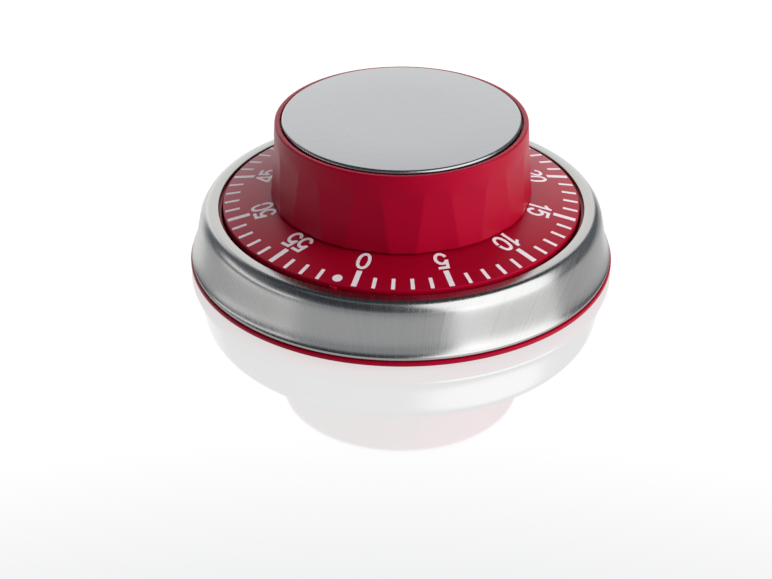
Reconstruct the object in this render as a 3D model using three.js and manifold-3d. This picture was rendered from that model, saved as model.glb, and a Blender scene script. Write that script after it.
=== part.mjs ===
// A mechanical sixty-minute kitchen timer. A faceted knob and a printed dial turn together in a
// brushed steel ring on a red base, and a small clockwork movement stands inside the knob.
// Millimetres, +Z up, origin under the middle of the base, on the surface that the timer stands on.
import * as THREE from "three";
import { mergeVertices } from "three/addons/utils/BufferGeometryUtils.js";
import Module from "manifold-3d";

const wasm = await Module();
wasm.setup();

// driving dimensions

const fit = 0.1; // between pieces that are pressed or screwed together
const gap = 0.3; // between pieces that pass each other

const outer = { radius: 45, height: 33.4 }; // the whole timer
const sides = { pin: 12, small: 16, coarse: 20, fine: 48 }; // of turned pieces, from thin to wide

const base = {
  edgeLow: 1.2,
  edgeHigh: 2.2,
  recessRadius: 40.1,
  floorLow: 1.9,
  floorHigh: 3.3,
  lowBevel: { across: 0.4, up: 0.3 },
  highBevel: 0.2,
  wallInner: 39.5,
  wallOuter: 41.2,
  ledgeInner: 37.95,
  ledgeLow: 11.3,
  top: 12.7,
  root: 0.5, // how deep the bosses and the index mark reach into the base
  magnetCup: { radius: 8.1, top: 6.4, roof: 5.6, clearance: 0.2 },
  frameBoss: { radius: 3, top: 5.1, headSeat: 2.3, hole: 1.2 },
  coverBoss: { radius: 2.6, top: 7.5, hole: 0.95, holeTop: 6.4 },
};
const pointer = { angle: -110.3, width: 1.7, depth: 0.55, top: 13.95, sink: 0.02 }; // index mark

const ring = {
  sheet: 0.7,
  inner: 38.6,
  top: 13.7,
  shoulder: { radius: 40.6, z: 11.7, bend: 2, from: 80, to: 8 }, // the bend's centre, radius and angles
  kneeRadius: 43.5,
  kneeZ: 6.3, // below this the wall flares out
  lipRadius: 44.65,
  lipZ: 2.5,
  lipHeight: 0.5,
};

const dial = {
  innerRadius: 22.5,
  seatRadius: 27.4,
  seatZ: 15.9,
  edgeRadius: 37.64,
  markRadius: 37.27,
  markZ: 14.16,
  thickness: 1.7,
  rimBand: 1, // flat band under the edge
  edgeDrop: 0.35,
  edgeRound: { across: 0.12, down: 0.05 },
};

const knob = {
  facets: 12,
  firstFacet: -104.3, // plan angle of the facet over the 0 mark
  footRadius: 27.5,
  footZ: 16.2,
  rimRadius: 26.2,
  rimInner: 25.6,
  rimTop: 32.9,
  rimRound: 0.15,
  roundFrom: 30.6, // above this the side is round, below it the facets open
  innerRadius: 24.1,
  webLow: 30.6,
  webTop: 31.8,
  hubRadius: 5,
  hubLow: 28.6,
  sideLevels: [16.5, 21, 25.5, 28.5], // rings of points up the faceted side
  footRound: 0.3,
  straightTo: 32.3,
  roundOver: 4, // height over which the facets open
  topHalfAngle: 4.6, // half width of a main facet under the rim, in degrees
  footHalfAngle: 9.6, // and at the foot
};
const cap = { radius: 24.8, flatRadius: 23.8, low: 32.1, edgeZ: 32.85, roll: { across: 0.25, up: 0.33 } };

const lowerPlate = { low: 5.2, high: 6.2 };
const upperPlate = { low: 17.6, high: 18.6 };
const plateRim = { radius: 20.4, sides: 40 };
const pillar = {
  orbit: 18.2,
  radius: 1.7,
  bore: 1.1,
  boreTop: 10,
  stud: 0.8,
  studTop: 19.8,
  angles: [-62, 118, 208],
};
const frameScrew = { head: 2, headLow: 2.1, headHigh: 3.2, headRound: 0.3, shaft: 1, top: 9.4 };
const frameHoles = { lower: 1.2, upper: 0.95 }; // in the plates, for the screws and the studs
const plateNut = { corners: 1.9, bore: 0.9, low: 18.7, high: 19.7 };
const arborRadius = 2;
const arborTop = 31.5;
const keyFlat = { wide: 2, long: 5, tall: 3, z: 30.1, out: 0.5 }; // on the main arbor, under the hub
const spring = { inner: 2.8, outer: 9.4, turns: 6, perTurn: 14, strip: 0.35, low: 6.9, high: 10.9 };

const toothModule = 0.4;
const train = {
  main: { teeth: 48, low: 12, high: 12.9 },
  second: { teeth: 40, low: 13.9, high: 14.6 },
  third: { teeth: 36, low: 15.6, high: 16.3 },
  pinionTeeth: 8,
  escape: { teeth: 20, radius: 4.4, low: 8.2, high: 8.9 },
  shaftRadius: 0.7,
  leafOverlap: 0.2, // the pinion's leaves reach this far above and below the wheel that they drive
};
const ratchet = { teeth: 12, tip: 4, root: 3.3, low: 11.1, high: 11.7 };
const saw = { rise: 0.8, land: 0.95 }; // shares of one tooth's step
const sawDepth = 0.9; // of the escape wheel's teeth
const secondAngle = -20; // plan angle of the second arbor
const thirdOrbit = 12.6;
const escapeOrbit = 15.6;
const pallet = {
  orbit: 14.8,
  reach: 6.3,
  clear: 0.6,
  spread: 52, // plan angle from the lever's centre line to each pallet, seen from the escape wheel
  hub: 1.5,
  barWidth: 0.9,
  barStart: 1.2, // where a bar begins, from the arbor's middle
  pin: 0.4,
};

const bell = { radius: 19.6, wall: 0.7, low: 20, high: 26.4, shoulder: 3, sides: 32 };
const post = { bore: 2.35, flange: 5, flangeHeight: 0.8, radius: 3.8, stud: 2.7, top: 28.3 };
const bellNut = { corners: 4.6, height: 1.5 };
const hammer = {
  orbit: 12.4,
  angle: 165,
  shaft: 0.8,
  shaftTop: 23.4,
  eye: 1.7,
  barStart: 1.2,
  arm: { width: 1.3, low: 21.2, high: 22 },
  head: { radius: 1.5, low: 20.4, high: 23, orbit: 16.5, angle: 197 },
  tail: { width: 1, behind: 14 }, // plan angle from the tail's end to the cam's notch
};
const returnSpring = { turns: 3, perTurn: 8, radius: 1.35, low: 19.1, rise: 1.5, wire: 0.18 };
const cam = { radius: 4.6, low: 16.7, high: 17.3, notch: 1 };

const magnet = { orbit: 29.5, radius: 7, low: 2.1, high: 5.3, bevel: 0.3, angles: [30, 150, 270] };
const foot = { orbit: 28, radius: 5, high: 1.15, bevel: 0.3, angles: [90, 210, 330] };
const cover = { radius: 39.7, low: 0.9, high: 1.8, bevel: 0.4, footSeat: 1.25 };
const coverScrew = {
  orbit: 36,
  head: 1.9,
  headLow: 1,
  coneTop: 1.7,
  shaft: 0.9,
  tip: 0.8,
  taper: 5.6,
  top: 6,
};
const screwSeat = { mouth: 2.15, coneLow: 0.95, coneTop: 1.75, hole: 1.15 };
const crossSlot = { long: 2.4, wide: 0.4, deep: 0.5 };
const dialScrew = {
  orbit: 25.6,
  angles: [15, 135, 255],
  hole: 0.85,
  holeTop: 19.6,
  head: 1.4,
  headLow: 13.1,
  headHigh: 14.05,
  shaft: 0.7,
  top: 19.2,
};

// shape helpers

const radians = THREE.MathUtils.degToRad;

// The plan point at a radius and an angle in degrees.
function polar(radius, angle) {
  return new THREE.Vector2(radius * Math.cos(radians(angle)), radius * Math.sin(radians(angle)));
}

// A solid of revolution about +Z. The profile is [radius, height] points, counter-clockwise.
function turned(profile, count = sides.coarse) {
  const points = profile.map(([radius, height]) => new THREE.Vector2(radius, height));
  return new THREE.LatheGeometry(points, count).rotateX(Math.PI / 2);
}

function rod(radius, low, high, count = sides.pin) {
  return turned([[0, low], [radius, low], [radius, high], [0, high]], count);
}

function tube(inner, outside, low, high, count = sides.coarse) {
  return turned([[inner, low], [outside, low], [outside, high], [inner, high], [inner, low]], count);
}

function plate(shape, low, high) {
  const depth = high - low;
  return new THREE.ExtrudeGeometry(shape, { depth, bevelEnabled: false, curveSegments: 6 })
    .translate(0, 0, low);
}

// Points of an arc in a profile, from one angle to another about a centre.
function arc(centreR, centreZ, radius, from, to, steps) {
  return Array.from({ length: steps + 1 }, (_, step) => {
    const angle = radians(from + ((to - from) * step) / steps);
    return [centreR + radius * Math.cos(angle), centreZ + radius * Math.sin(angle)];
  });
}

function moved(geometry, point, z = 0) {
  return geometry.translate(point.x, point.y, z);
}

function toSolid(geometry) {
  const bare = geometry.index ? geometry.toNonIndexed() : geometry.clone();
  bare.deleteAttribute("normal");
  bare.deleteAttribute("uv");
  const merged = mergeVertices(bare, 1e-4);
  const vertProperties = merged.attributes.position.array;
  const triVerts = new Uint32Array(merged.index.array);
  return new wasm.Manifold(new wasm.Mesh({ numProp: 3, vertProperties, triVerts }));
}

function toGeometry(solid) {
  const { vertProperties, triVerts } = solid.getMesh();
  const geometry = new THREE.BufferGeometry();
  geometry.setAttribute("position", new THREE.BufferAttribute(vertProperties, 3));
  geometry.setIndex(new THREE.BufferAttribute(triVerts, 1));
  geometry.computeVertexNormals();
  return geometry;
}

function joined(...pieces) {
  return toGeometry(pieces.map(toSolid).reduce((whole, piece) => whole.add(piece)));
}

function cut(piece, ...tools) {
  return toGeometry(tools.map(toSolid).reduce((rest, tool) => rest.subtract(tool), toSolid(piece)));
}

// gears

const toothAddendum = 0.7 * toothModule;
const toothDedendum = 1.15 * toothModule;
const toothHalf = { root: 0.27, tip: 0.1 }; // half widths of a tooth, as shares of one step
const centreSlack = 0.08; // added to each centre distance, so that the teeth run free

const pitchRadius = (teeth) => (teeth * toothModule) / 2;

function holeOf(radius) {
  return new THREE.Path().absarc(0, 0, radius, 0, 2 * Math.PI, true);
}

// A spur gear's outline with straight-sided teeth, its first tooth along +X.
function gearShape(teeth, bore) {
  const root = pitchRadius(teeth) - toothDedendum;
  const tip = pitchRadius(teeth) + toothAddendum;
  const step = 360 / teeth;
  const flank = [
    [root, -toothHalf.root],
    [tip, -toothHalf.tip],
    [tip, toothHalf.tip],
    [root, toothHalf.root],
  ];
  const points = [];
  for (let tooth = 0; tooth < teeth; tooth += 1) {
    for (const [radius, share] of flank) points.push(polar(radius, (tooth + share) * step));
  }
  const shape = new THREE.Shape(points);
  if (bore) shape.holes.push(holeOf(bore));
  return shape;
}

// A wheel with a tooth that points along the given angle.
function wheel(teeth, { low, high }, towards, bore) {
  return plate(gearShape(teeth, bore), low, high).rotateZ(radians(towards));
}

// A shaft between the plates with a pinion on it, which has a tooth space at the given angle.
function pinionShaft(level, spaceAt) {
  const low = level.low - train.leafOverlap;
  const high = level.high + train.leafOverlap;
  const leaves = plate(gearShape(train.pinionTeeth), low, high);
  leaves.rotateZ(radians(spaceAt + 180 / train.pinionTeeth));
  return joined(leaves, rod(train.shaftRadius, lowerPlate.low, upperPlate.high));
}

function angleOf(point) {
  return THREE.MathUtils.radToDeg(Math.atan2(point.y, point.x));
}

// The plan angle that stands at one corner of a triangle, between two sides and across from the third.
function cornerAngle(sideA, sideB, across) {
  const cosine = (sideA ** 2 + sideB ** 2 - across ** 2) / (2 * sideA * sideB);
  return THREE.MathUtils.radToDeg(Math.acos(cosine));
}

const meshDistance = (teeth) => pitchRadius(teeth) + pitchRadius(train.pinionTeeth) + centreSlack;

const centre = new THREE.Vector2(0, 0);
const secondOrbit = meshDistance(train.main.teeth);
const thirdAngle =
  secondAngle + cornerAngle(secondOrbit, thirdOrbit, meshDistance(train.second.teeth));
const escapeAngle =
  thirdAngle + cornerAngle(thirdOrbit, escapeOrbit, meshDistance(train.third.teeth));
const palletAngle = escapeAngle + cornerAngle(escapeOrbit, pallet.orbit, pallet.reach);

const secondAt = polar(secondOrbit, secondAngle);
const thirdAt = polar(thirdOrbit, thirdAngle);
const escapeAt = polar(escapeOrbit, escapeAngle);
const palletAt = polar(pallet.orbit, palletAngle);
const hammerAt = polar(hammer.orbit, hammer.angle);

// finishes

const finish = {
  redPlastic: { color: 0x9c0826, roughness: 0.35 },
  blackPlastic: { color: 0x1b1b1d, roughness: 0.6 },
  rubber: { color: 0x2a2a2c, roughness: 0.9 },
  brushedSteel: { color: 0xc1c2c6, roughness: 0.3, metalness: 1 },
  steel: { color: 0x8d9095, roughness: 0.35, metalness: 1 },
  brass: { color: 0xc9a35a, roughness: 0.35, metalness: 1 },
  magnetNickel: { color: 0xa8a9ad, roughness: 0.25, metalness: 1 },
};

function piece(name, geometry, look) {
  const mesh = new THREE.Mesh(geometry, new THREE.MeshStandardMaterial(look));
  mesh.name = name;
  return mesh;
}

// housing

const pillarPlaces = pillar.angles.map((angle) => polar(pillar.orbit, angle));
const magnetPlaces = magnet.angles.map((angle) => polar(magnet.orbit, angle));
const footPlaces = foot.angles.map((angle) => polar(foot.orbit, angle));
const coverScrewPlaces = foot.angles.map((angle) => polar(coverScrew.orbit, angle));
const dialScrewPlaces = dialScrew.angles.map((angle) => polar(dialScrew.orbit, angle));

// A half-round pip on the base's ledge, which stands in the slit between the dial and the ring.
function pointerPip() {
  const innerFace = base.ledgeInner + pointer.sink;
  const shape = new THREE.Shape();
  shape.moveTo(0, -pointer.width / 2);
  shape.absellipse(0, 0, pointer.depth, pointer.width / 2, -Math.PI / 2, Math.PI / 2, false);
  return plate(shape, base.top - base.root, pointer.top)
    .translate(innerFace, 0, 0)
    .rotateZ(radians(pointer.angle));
}

function baseShell() {
  const tub = turned(
    [
      [0, base.floorLow],
      [base.recessRadius, base.floorLow],
      [base.recessRadius, base.edgeLow],
      [outer.radius - base.lowBevel.across, base.edgeLow],
      [outer.radius, base.edgeLow + base.lowBevel.up],
      [outer.radius, base.edgeHigh - base.highBevel],
      [outer.radius - base.highBevel, base.edgeHigh],
      [base.wallOuter, base.edgeHigh],
      [base.wallOuter, base.top],
      [base.ledgeInner, base.top],
      [base.ledgeInner, base.ledgeLow],
      [base.wallInner, base.ledgeLow],
      [base.wallInner, base.floorHigh],
      [0, base.floorHigh],
    ],
    sides.fine,
  );
  const { magnetCup, frameBoss, coverBoss } = base;
  const root = base.floorHigh - base.root;
  const below = base.floorLow - 1; // every hole starts here, under the floor
  const pocketRadius = magnet.radius + magnetCup.clearance;
  const stack = (places, radius, low, high, count) =>
    places.map((at) => moved(rod(radius, low, high, count), at));
  return cut(
    joined(
      tub,
      ...stack(magnetPlaces, magnetCup.radius, root, magnetCup.top, sides.coarse),
      ...stack(pillarPlaces, frameBoss.radius, root, frameBoss.top),
      ...stack(coverScrewPlaces, coverBoss.radius, root, coverBoss.top),
      pointerPip(),
    ),
    ...stack(magnetPlaces, pocketRadius, below, magnetCup.roof, sides.coarse),
    ...stack(pillarPlaces, frameBoss.headSeat, below, base.floorHigh),
    ...stack(pillarPlaces, frameBoss.hole, below, frameBoss.top + 1),
    ...stack(coverScrewPlaces, coverBoss.hole, below, coverBoss.holeTop),
  );
}

// One face of the ring's sheet: flat collar, round shoulder, leaning wall, flared skirt.
function ringSkin(inset, shoulderSteps) {
  const { inner, top, shoulder, kneeRadius, kneeZ, lipRadius, lipZ, lipHeight } = ring;
  const { radius, z, bend, from, to } = shoulder;
  return [
    [inner, top - inset],
    ...arc(radius, z, bend - inset, from, to, shoulderSteps),
    [kneeRadius - inset, kneeZ],
    [lipRadius - inset, lipZ + lipHeight],
    [lipRadius - inset, lipZ],
  ];
}

function steelRing() {
  const outside = ringSkin(0, 4).reverse();
  const inside = ringSkin(ring.sheet, 2);
  return turned([...outside, ...inside, outside[0]], sides.fine);
}

function bottomCover() {
  const { mouth, coneLow, coneTop, hole } = screwSeat;
  const seatRadius = foot.radius + 2 * fit;
  const below = cover.low - gap;
  const above = cover.high + gap;
  const footSeats = footPlaces.map((at) =>
    moved(rod(seatRadius, 0, cover.footSeat, sides.coarse), at),
  );
  const screwSeats = coverScrewPlaces.map((at) =>
    moved(
      turned(
        [
          [0, below],
          [mouth, below],
          [mouth, coneLow],
          [hole, coneTop],
          [hole, above],
          [0, above],
        ],
        sides.small,
      ),
      at,
    ),
  );
  const disc = turned(
    [
      [0, cover.low],
      [cover.radius - cover.bevel, cover.low],
      [cover.radius, cover.low + cover.bevel],
      [cover.radius, cover.high],
      [0, cover.high],
    ],
    sides.fine,
  );
  return cut(disc, ...footSeats, ...screwSeats);
}

function rubberFoot() {
  const { radius, high, bevel } = foot;
  return turned([[0, 0], [radius - bevel, 0], [radius, bevel], [radius, high], [0, high]]);
}

function magnetDisc() {
  const { radius, low, high, bevel } = magnet;
  return turned([
    [0, low],
    [radius - bevel, low],
    [radius, low + bevel],
    [radius, high - bevel],
    [radius - bevel, high],
    [0, high],
  ]);
}

// A countersunk screw, head down, with a cross slot in its head.
function coverScrewPin() {
  const { head, headLow, coneTop, shaft, tip, taper, top } = coverScrew;
  const screw = turned(
    [
      [0, headLow],
      [head, headLow],
      [shaft, coneTop],
      [tip, taper],
      [0, top],
    ],
    sides.small,
  );
  const slot = new THREE.BoxGeometry(crossSlot.long, crossSlot.wide, crossSlot.deep);
  slot.translate(0, 0, headLow);
  return cut(screw, slot, slot.clone().rotateZ(Math.PI / 2));
}

function numbered(name, places, make, look) {
  return places.map((at, index) => piece(`${name}_${index + 1}`, moved(make(), at), look));
}

const housing = new THREE.Group();
housing.add(
  piece("base_shell", baseShell(), finish.redPlastic),
  piece("steel_ring", steelRing(), finish.brushedSteel),
  piece("bottom_cover", bottomCover(), finish.blackPlastic),
  ...numbered("rubber_foot", footPlaces, rubberFoot, finish.rubber),
  ...numbered("magnet", magnetPlaces, magnetDisc, finish.magnetNickel),
  ...numbered("cover_screw", coverScrewPlaces, coverScrewPin, finish.steel),
);

// movement frame

// A round plate with holes for the arbors and for what holds it.
function movementPlate({ low, high }, centreHole, pillarHole, extraHoles = []) {
  const step = 360 / plateRim.sides;
  const rim = Array.from({ length: plateRim.sides }, (_, side) => polar(plateRim.radius, side * step));
  const shape = new THREE.Shape(rim);
  const holes = [
    [centre, centreHole],
    [secondAt, train.shaftRadius + fit],
    [thirdAt, train.shaftRadius + fit],
    [escapeAt, train.shaftRadius + fit],
    [palletAt, train.shaftRadius + fit],
    [hammerAt, hammer.shaft + fit],
    ...pillarPlaces.map((at) => [at, pillarHole]),
    ...extraHoles,
  ];
  for (const [at, radius] of holes) {
    shape.holes.push(new THREE.Path().absarc(at.x, at.y, radius, 0, 2 * Math.PI, true));
  }
  return plate(shape, low, high);
}

// A pillar with a screw hole in its foot and a thin stud on top, which goes through the upper plate.
function framePillar() {
  const low = lowerPlate.high + fit;
  const high = upperPlate.low - fit;
  const { radius, bore, boreTop, stud, studTop } = pillar;
  return turned(
    [
      [bore, low],
      [radius, low],
      [radius, high],
      [stud, high],
      [stud, studTop],
      [0, studTop],
      [0, boreTop],
      [bore, boreTop],
      [bore, low],
    ],
    sides.small,
  );
}

function movementScrew() {
  const { head, headLow, headHigh, headRound, shaft, top } = frameScrew;
  return turned(
    [
      [0, headLow],
      [head - headRound, headLow],
      [head, headLow + headRound],
      [head, headHigh],
      [shaft, headHigh],
      [shaft, top],
      [0, top],
    ],
    sides.small,
  );
}

function hexNut(circumradius, bore, low, high) {
  const corners = Array.from({ length: 6 }, (_, corner) => polar(circumradius, corner * 60));
  const shape = new THREE.Shape(corners);
  shape.holes.push(holeOf(bore));
  return plate(shape, low, high);
}

// The mainspring: a flat strip wound into a spiral around the main arbor.
function mainspring() {
  const steps = spring.turns * spring.perTurn;
  const outside = [];
  const inside = [];
  for (let step = 0; step <= steps; step += 1) {
    const share = step / steps;
    const radius = spring.inner + (spring.outer - spring.inner) * share;
    const angle = share * spring.turns * 360;
    outside.push(polar(radius + spring.strip / 2, angle));
    inside.push(polar(radius - spring.strip / 2, angle));
  }
  return plate(new THREE.Shape([...outside, ...inside.reverse()]), spring.low, spring.high);
}

function bellPost() {
  const low = upperPlate.high + fit;
  const shoulderZ = bell.high - bell.wall - fit;
  return turned([
    [post.bore, low],
    [post.flange, low],
    [post.flange, low + post.flangeHeight],
    [post.radius, low + post.flangeHeight],
    [post.radius, shoulderZ],
    [post.stud, shoulderZ],
    [post.stud, post.top],
    [post.bore, post.top],
    [post.bore, low],
  ]);
}

// An open-mouthed bell: a flat crown with a hole for its post, a round shoulder and a straight skirt.
function bellCup() {
  const { radius, wall, low, high, shoulder } = bell;
  const bore = post.stud + fit;
  const centreR = radius - shoulder;
  const centreZ = high - shoulder;
  return turned(
    [
      [radius - wall, low],
      [radius, low],
      ...arc(centreR, centreZ, shoulder, 0, 90, 4),
      [bore, high],
      [bore, high - wall],
      ...arc(centreR, centreZ, shoulder - wall, 90, 0, 3),
      [radius - wall, low],
    ],
    bell.sides,
  );
}

function studNut() {
  return hexNut(plateNut.corners, plateNut.bore, plateNut.low, plateNut.high);
}

function bellTopNut() {
  const low = bell.high + fit;
  return hexNut(bellNut.corners, post.stud + fit, low, low + bellNut.height);
}

const mainBore = arborRadius + fit;
const movement = new THREE.Group();
movement.add(
  piece("lower_plate", movementPlate(lowerPlate, mainBore, frameHoles.lower), finish.brass),
  piece("upper_plate", movementPlate(upperPlate, mainBore, frameHoles.upper), finish.brass),
  ...numbered("pillar", pillarPlaces, framePillar, finish.steel),
  ...numbered("movement_screw", pillarPlaces, movementScrew, finish.steel),
  ...numbered("plate_nut", pillarPlaces, studNut, finish.steel),
  piece("mainspring", mainspring(), finish.steel),
  piece("bell_post", bellPost(), finish.steel),
  piece("bell", bellCup(), finish.brushedSteel),
  piece("bell_nut", bellTopNut(), finish.steel),
);

// dial and knob

// The printed dial: a shallow cone whose flat inner flange carries the knob.
function dialDisc() {
  const { innerRadius, seatRadius, seatZ, edgeRadius, markRadius, markZ, thickness } = dial;
  const { rimBand, edgeDrop, edgeRound } = dial;
  const disc = turned(
    [
      [innerRadius, seatZ - thickness],
      [seatRadius, seatZ - thickness],
      [edgeRadius - rimBand, markZ - thickness],
      [edgeRadius, markZ - thickness],
      [edgeRadius, markZ - edgeDrop],
      [edgeRadius - edgeRound.across, markZ - edgeRound.down],
      [markRadius, markZ],
      [seatRadius, seatZ],
      [innerRadius, seatZ],
      [innerRadius, seatZ - thickness],
    ],
    sides.fine,
  );
  const low = markZ - thickness;
  const holes = dialScrewPlaces.map((at) => moved(rod(dialScrew.hole, low, seatZ + 1), at));
  return cut(disc, ...holes);
}

// The knob's side is round under its rim. Below that, twelve main facets widen towards the foot
// while the twelve between them narrow. Four columns of points make each of the twelve sectors.
function facetColumns(share, radius) {
  const half = THREE.MathUtils.lerp(knob.topHalfAngle, knob.footHalfAngle, share);
  const sector = 360 / knob.facets;
  const between = sector / 2 - half;
  return [
    { angle: 0, flat: radius * Math.cos(radians(half)) },
    { angle: half, flat: radius },
    { angle: sector / 2, flat: radius * Math.cos(radians(between)) },
    { angle: sector - half, flat: radius },
  ];
}

function knobShell() {
  const sidePoints = [...knob.sideLevels, knob.roundFrom].map((z) => {
    const share = (knob.rimTop - z) / (knob.rimTop - knob.footZ);
    return [THREE.MathUtils.lerp(knob.rimRadius, knob.footRadius, share), z];
  });
  const profile = [
    [knob.innerRadius, knob.footZ],
    [knob.footRadius - knob.footRound, knob.footZ],
    ...sidePoints,
    [knob.rimRadius, knob.straightTo],
    [knob.rimRadius - knob.rimRound, knob.rimTop - 0.2],
    [knob.rimInner + knob.rimRound, knob.rimTop],
    [knob.rimInner, knob.rimTop - 0.1],
    [knob.rimInner, knob.webTop],
    [mainBore, knob.webTop],
    [mainBore, knob.hubLow],
    [knob.hubRadius, knob.hubLow],
    [knob.hubRadius, knob.webLow],
    [knob.innerRadius, knob.webLow],
    [knob.innerRadius, knob.footZ],
  ];
  const firstFaceted = 1;
  const lastFaceted = sidePoints.length + 1;
  const perSector = 4;
  const columns = knob.facets * perSector;
  const shell = turned(profile, columns);
  const position = shell.getAttribute("position");
  for (let column = 0; column <= columns; column += 1) {
    for (let index = 0; index < profile.length; index += 1) {
      const [radius, z] = profile[index];
      const share = THREE.MathUtils.clamp((knob.rimTop - z) / (knob.rimTop - knob.footZ), 0, 1);
      const { angle, flat } = facetColumns(share, radius)[column % perSector];
      const opened = THREE.MathUtils.smoothstep(knob.roundFrom - z, 0, knob.roundOver);
      const faceted = index >= firstFaceted && index <= lastFaceted;
      const distance = faceted ? THREE.MathUtils.lerp(radius, flat, opened) : radius;
      const sector = Math.floor(column / perSector) * (360 / knob.facets);
      const place = polar(distance, knob.firstFacet + sector + angle);
      position.setXYZ(column * profile.length + index, place.x, place.y, z);
    }
  }
  const below = knob.footZ - 1;
  const screwHoles = dialScrewPlaces.map((at) =>
    moved(rod(dialScrew.hole, below, dialScrew.holeTop), at),
  );
  return cut(shell, ...screwHoles);
}

function knobCap() {
  const { radius, flatRadius, low, edgeZ, roll } = cap;
  return turned(
    [
      [0, low],
      [radius, low],
      [radius, edgeZ],
      [radius - roll.across, edgeZ + roll.up],
      [flatRadius, outer.height],
      [0, outer.height],
    ],
    sides.fine,
  );
}

function mainArbor() {
  const shaft = rod(arborRadius, lowerPlate.low, arborTop, 2 * sides.pin);
  const block = new THREE.BoxGeometry(keyFlat.wide, keyFlat.long, keyFlat.tall);
  block.translate(arborRadius + keyFlat.out, 0, keyFlat.z);
  return cut(shaft, block);
}

// Saw teeth, each rising gently and dropping back sharply.
function sawShape(teeth, tip, root, bore) {
  const step = 360 / teeth;
  const points = [];
  for (let tooth = 0; tooth < teeth; tooth += 1) {
    points.push(polar(root, tooth * step), polar(tip, (tooth + saw.rise) * step));
    points.push(polar(tip, (tooth + saw.land) * step));
  }
  const shape = new THREE.Shape(points);
  shape.holes.push(holeOf(bore));
  return shape;
}

// The click that locks the ratchet wheel to the main wheel in one direction.
function ratchetClick() {
  const nose = polar(4.1, 8);
  const heel = [polar(6.6, -2), polar(6.8, 20)];
  const back = polar(4.9, 18);
  return plate(new THREE.Shape([nose, ...heel, back]), ratchet.low, ratchet.high);
}

// A disc with one notch, into which the hammer's tail drops when the time has run out.
function releaseCam() {
  const notchAt = polar(cam.radius, hammer.angle);
  const disc = tube(mainBore, cam.radius, cam.low, cam.high);
  return cut(disc, moved(rod(cam.notch, cam.low - 1, cam.high + 1), notchAt));
}

function dialScrewPin() {
  const { head, headLow, headHigh, shaft, top } = dialScrew;
  return turned(
    [
      [0, headLow],
      [head, headLow],
      [head, headHigh],
      [shaft, headHigh],
      [shaft, top],
      [0, top],
    ],
    sides.pin,
  );
}

function ratchetWheel() {
  const shape = sawShape(ratchet.teeth, ratchet.tip, ratchet.root, mainBore);
  return plate(shape, ratchet.low, ratchet.high);
}

const turningSet = new THREE.Group();
turningSet.add(
  piece("dial", dialDisc(), finish.redPlastic),
  piece("knob", knobShell(), finish.redPlastic),
  piece("knob_cap", knobCap(), finish.brushedSteel),
  piece("main_arbor", mainArbor(), finish.steel),
  piece("main_wheel", wheel(train.main.teeth, train.main, secondAngle, mainBore), finish.brass),
  piece("ratchet_wheel", ratchetWheel(), finish.steel),
  piece("ratchet_click", ratchetClick(), finish.steel),
  piece("release_cam", releaseCam(), finish.steel),
  ...numbered("dial_screw", dialScrewPlaces, dialScrewPin, finish.steel),
);

// wheel train

const shaftBore = train.shaftRadius + fit;

// The wheel and the pinion of one arbor: the pinion meets the wheel before, the wheel the pinion after.
function trainArbor(name, at, before, drivenAt, own, after) {
  const back = angleOf(before.clone().sub(at));
  const ahead = angleOf(after.clone().sub(at));
  return [
    piece(`${name}_pinion`, moved(pinionShaft(drivenAt, back), at), finish.steel),
    piece(`${name}_wheel`, moved(wheel(own.teeth, own, ahead, shaftBore), at), finish.brass),
  ];
}

function escapeWheel() {
  const { teeth, radius, low, high } = train.escape;
  return plate(sawShape(teeth, radius, radius - sawDepth, shaftBore), low, high);
}

// Two pallets on a curved lever that straddles the escape wheel, each just clear of its teeth.
function palletLever() {
  const { low, high } = train.escape;
  const { clear, spread, pin, barWidth, barStart } = pallet;
  const orbit = train.escape.radius + clear + pin;
  const back = angleOf(palletAt.clone().sub(escapeAt));
  const tips = [-spread, spread].map((side) => escapeAt.clone().add(polar(orbit, back + side)));
  const hub = moved(tube(shaftBore, pallet.hub, low, high, sides.small), palletAt);
  const arms = tips.map((tip) => {
    const along = tip.clone().sub(palletAt);
    const length = along.length() - barStart;
    const bar = new THREE.BoxGeometry(length, barWidth, high - low);
    bar.translate(barStart + length / 2, 0, (low + high) / 2);
    return moved(bar.rotateZ(radians(angleOf(along))), palletAt);
  });
  const pins = tips.map((tip) => moved(rod(pin, low - pin, high + pin, 10), tip));
  return joined(hub, ...arms, ...pins);
}

function palletArbor() {
  return moved(rod(train.shaftRadius, lowerPlate.low, upperPlate.high), palletAt);
}

function escapePinion() {
  const back = angleOf(thirdAt.clone().sub(escapeAt));
  return moved(pinionShaft(train.third, back), escapeAt);
}

const movingTrain = new THREE.Group();
movingTrain.add(
  ...trainArbor("second", secondAt, centre, train.main, train.second, thirdAt),
  ...trainArbor("third", thirdAt, secondAt, train.second, train.third, escapeAt),
  piece("escape_pinion", escapePinion(), finish.steel),
  piece("escape_wheel", moved(escapeWheel(), escapeAt), finish.brass),
  piece("pallet_lever", palletLever(), finish.steel),
  piece("pallet_arbor", palletArbor(), finish.steel),
);

// hammer

const headAt = polar(hammer.head.orbit, hammer.head.angle);

// A flat bar from the hammer's shaft to a point, with an eye around the shaft.
function shaftBar(to, width, low, high) {
  const along = to.clone().sub(hammerAt);
  const length = along.length() - hammer.barStart;
  const bar = new THREE.BoxGeometry(length, width, high - low);
  bar.translate(hammer.barStart + length / 2, 0, (low + high) / 2);
  bar.rotateZ(radians(angleOf(along)));
  const eye = tube(hammer.shaft + fit, hammer.eye, low, high, sides.small);
  return joined(moved(eye, hammerAt), moved(bar, hammerAt));
}

function hammerArm() {
  const { arm, head } = hammer;
  const bar = shaftBar(headAt, arm.width, arm.low, arm.high);
  return joined(bar, moved(rod(head.radius, head.low, head.high, sides.coarse), headAt));
}

// The tail ends just outside the cam, beside its notch.
function hammerTail() {
  const end = polar(cam.radius + gap, hammer.angle - hammer.tail.behind);
  return shaftBar(end, hammer.tail.width, cam.low, cam.high);
}

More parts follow.
